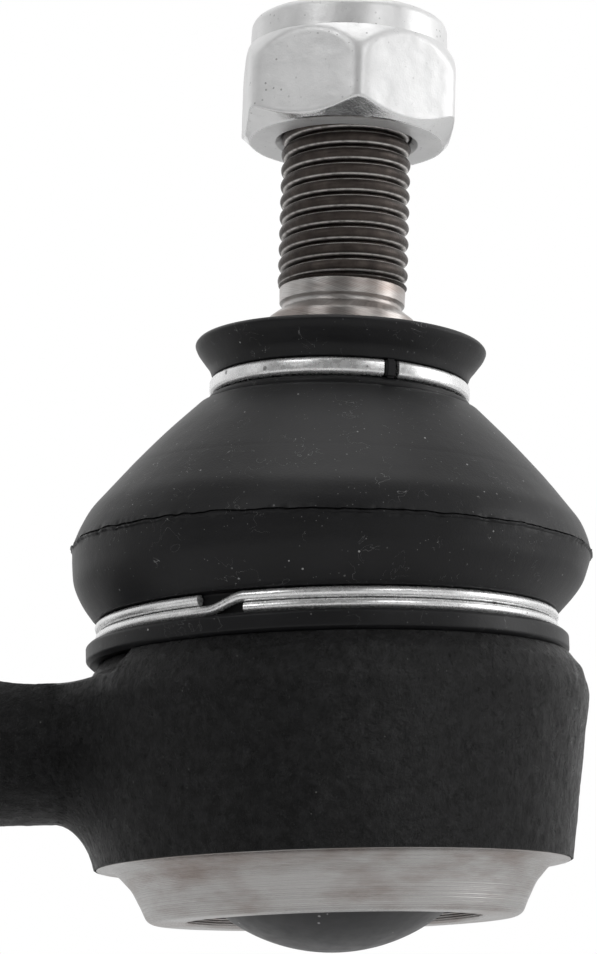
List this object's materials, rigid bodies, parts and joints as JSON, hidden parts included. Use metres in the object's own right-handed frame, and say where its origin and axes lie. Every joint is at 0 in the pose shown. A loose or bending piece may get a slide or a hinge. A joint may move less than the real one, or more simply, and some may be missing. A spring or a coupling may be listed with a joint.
{
  "type": "tie rod end",
  "caption": "Outer tie rod end with a threaded shank, a sealed ball stud under a ringed rubber boot, and a self-locking nut.",
  "frame": {"origin": "The centre of the ball, which every movement of the stud turns about.", "axes": "+Z runs along the housing's own axis towards the stud; the shank leaves along -X; the stud rests leaning 3.2 degrees towards +X."},
  "size_m": [0.098, 0.0468, 0.0866],
  "materials": {
    "housing_paint": "black paint over a rough forging, bare machined steel at the swaged rim",
    "bearing_plastic": "natural acetal",
    "spring_steel": "oiled spring steel",
    "cap_steel": "dark smooth coated pressing",
    "ring_wire": "bright drawn wire",
    "boot_rubber": "matte moulded rubber with light dust",
    "stud_phosphate": "dark phosphated thread, bright ground taper and ball",
    "nut_zinc": "bright zinc plating, satin",
    "insert_nylon": "natural nylon"
  },
  "bodies": {
    "housing": {"housing": "housing_paint", "bearing_shell": "bearing_plastic", "lower_seat": "bearing_plastic", "disc_spring": "spring_steel", "end_cap": "cap_steel", "boot_base_ring": "ring_wire"},
    "boot": {"dust_boot": "boot_rubber"},
    "clip_ring": {"boot_clip_ring": "ring_wire"},
    "stud": {"ball_stud": "stud_phosphate"},
    "insert": {"nut_insert": "insert_nylon"},
    "nut": {"lock_nut": "nut_zinc"}
  },
  "joints": [
    {"name": "stud_swing_across", "type": "hinge", "parent": "housing", "child": "boot", "pos_m": [0, 0, 0], "axis": [1, 0, 0], "range_deg": [-18, 18], "deforming": ["dust_boot"]},
    {"name": "stud_swing_along", "type": "hinge", "parent": "boot", "child": "clip_ring", "pos_m": [0, 0, 0], "axis": [0, 1, 0], "range_deg": [-21.2, 14.8]},
    {"name": "stud_spin", "type": "hinge", "parent": "clip_ring", "child": "stud", "pos_m": [0, 0, 0], "axis": [0.0558, 0, 0.9984], "continuous": true},
    {"name": "nut_travel", "type": "slide", "parent": "stud", "child": "insert", "axis": [0.0558, 0, 0.9984], "range_m": [-0.01205, 0.00605]},
    {"name": "nut_turn", "type": "hinge", "parent": "insert", "child": "nut", "pos_m": [0.0031, 0, 0.05541], "axis": [0.0558, 0, 0.9984], "range_deg": [-2880, 1440]}
  ],
  "couplings": [
    {"joint": "nut_travel", "follows": "nut_turn", "m_per_rad": 0.00023873}
  ]
}
